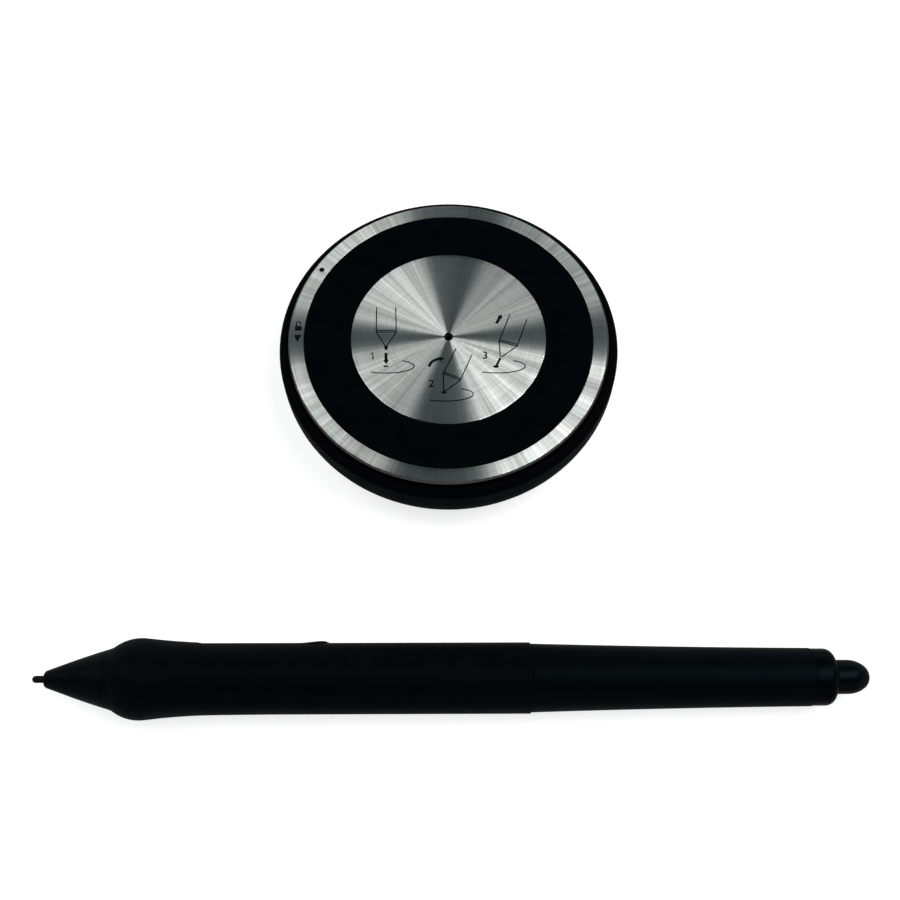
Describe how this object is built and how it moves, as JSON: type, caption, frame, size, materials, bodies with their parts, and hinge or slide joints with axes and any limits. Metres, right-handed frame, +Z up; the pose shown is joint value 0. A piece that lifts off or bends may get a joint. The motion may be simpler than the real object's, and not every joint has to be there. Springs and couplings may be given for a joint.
{
  "type": "pen and pen stand set",
  "caption": "Black digital pen with a rubber grip, side switch and eraser end, lying beside its round twist-open pen stand with a spun metal foot plate.",
  "frame": {"origin": "under the middle of the pair, on the surface that both lie on", "axes": "+X along the pen from its nib to its eraser, +Y from the pen to the stand, +Z up"},
  "size_m": [0.1564, 0.1102, 0.017],
  "materials": {
    "body_black": "fine matte moulding",
    "liner_rubber": "soft matte rubber",
    "weight_steel": "turned steel",
    "tray_grey": "matte moulding",
    "screw_steel": "zinc plated steel",
    "nib_black": "hard smooth plastic",
    "nib_felt": "pressed felt-like fibre",
    "nib_flex": "soft smooth plastic",
    "nib_stroke": "hard smooth plastic",
    "seal_rubber": "smooth rubber",
    "lid_black": "matte moulding",
    "trim_metal": "spun brushed metal with a fine bevel",
    "foot_rubber": "flat matte rubber",
    "plate_metal": "spun brushed metal",
    "puller_steel": "turned steel",
    "bush_black": "satin moulding",
    "cone_black": "satin moulding",
    "ring_black": "satin moulding",
    "grip_rubber": "soft-touch rubber",
    "barrel_black": "fine satin moulding",
    "collar_black": "high gloss moulding",
    "eraser_black": "high gloss moulding",
    "stem_white": "smooth moulding",
    "switch_black": "satin moulding",
    "pivot_steel": "ground steel",
    "tact_metal": "pressed steel case with a plastic button",
    "carrier_plastic": "natural moulding",
    "board_green": "solder-masked board",
    "chip_black": "moulded package",
    "ferrite": "sintered ferrite",
    "coil_copper": "enamelled wire",
    "holder_plastic": "smooth moulding",
    "sensor_plastic": "moulded case",
    "pad_rubber": "conductive rubber"
  },
  "bodies": {
    "stand": {"stand_shell": "body_black", "socket_liner": "liner_rubber", "ballast_ring": "weight_steel", "nib_tray": "tray_grey", "tray_screws": "screw_steel", "spare_standard_nibs": "nib_black", "spare_felt_nibs": "nib_felt", "spare_flex_nib": "nib_flex", "spare_stroke_nib": "nib_stroke"},
    "seal": {"lid_seal": "seal_rubber"},
    "lid": {"lid_cup": "lid_black", "trim_ring": "trim_metal", "rubber_foot": "foot_rubber", "centre_plate": "plate_metal", "nib_puller": "puller_steel"},
    "pen": {"front_barrel": "barrel_black", "grip_sleeve": "grip_rubber", "rear_barrel": "barrel_black", "end_collar": "collar_black", "chassis": "carrier_plastic", "circuit_board": "board_green", "board_components": "chip_black", "tact_switches": "tact_metal", "switch_pivot": "pivot_steel", "tip_core": "ferrite", "tip_coil": "coil_copper", "tip_sensor": "sensor_plastic", "tip_sensor_pad": "pad_rubber", "rear_core": "ferrite", "rear_coil": "coil_copper", "rear_sensor": "sensor_plastic", "rear_sensor_pad": "pad_rubber"},
    "cone_ring": {"accent_ring": "ring_black"},
    "cone": {"tip_cone": "cone_black", "nib_bush": "bush_black"},
    "nib_carrier": {"nib_holder": "holder_plastic"},
    "nib": {"nib": "nib_black"},
    "eraser": {"eraser": "eraser_black", "eraser_stem": "stem_white"},
    "switch": {"side_switch": "switch_black"}
  },
  "joints": [
    {"name": "lid_lift", "type": "slide", "parent": "stand", "child": "seal", "axis": [0, 0, 1], "range_m": [0, 0.03]},
    {"name": "lid_twist", "type": "hinge", "parent": "seal", "child": "lid", "pos_m": [-0.0003, 0.02043, 0.0138], "axis": [0, 0, 1], "range_deg": [-28, 0]},
    {"name": "pen_lift", "type": "slide", "parent": "stand", "child": "pen", "axis": [0, 0, 1], "range_m": [0, 0.1]},
    {"name": "cone_travel", "type": "slide", "parent": "pen", "child": "cone_ring", "axis": [-0.9999, 0, 0.0138], "range_m": [0, 0.0037]},
    {"name": "cone_turn", "type": "hinge", "parent": "cone_ring", "child": "cone", "pos_m": [-0.06824, -0.0475, 0.00772], "axis": [-0.9999, 0, 0.0138], "range_deg": [0, 1800]},
    {"name": "nib_press", "type": "slide", "parent": "pen", "child": "nib_carrier", "axis": [0.9999, 0, -0.0138], "range_m": [0, 0.0004], "stiffness_N_per_m": 2000},
    {"name": "nib_pull", "type": "slide", "parent": "nib_carrier", "child": "nib", "axis": [-0.9999, 0, 0.0138], "range_m": [0, 0.02]},
    {"name": "eraser_press", "type": "slide", "parent": "pen", "child": "eraser", "axis": [-0.9999, 0, 0.0138], "range_m": [0, 0.0008], "stiffness_N_per_m": 1000},
    {"name": "switch_rock", "type": "hinge", "parent": "pen", "child": "switch", "pos_m": [-0.03525, -0.0443, 0.00726], "axis": [0.0138, 0, 0.9999], "range_deg": [-2.2, 2.2], "stiffness_Nm_per_rad": 0.3}
  ],
  "couplings": [
    {"joint": "cone_turn", "follows": "cone_travel", "rad_per_m": 8377.6}
  ]
}
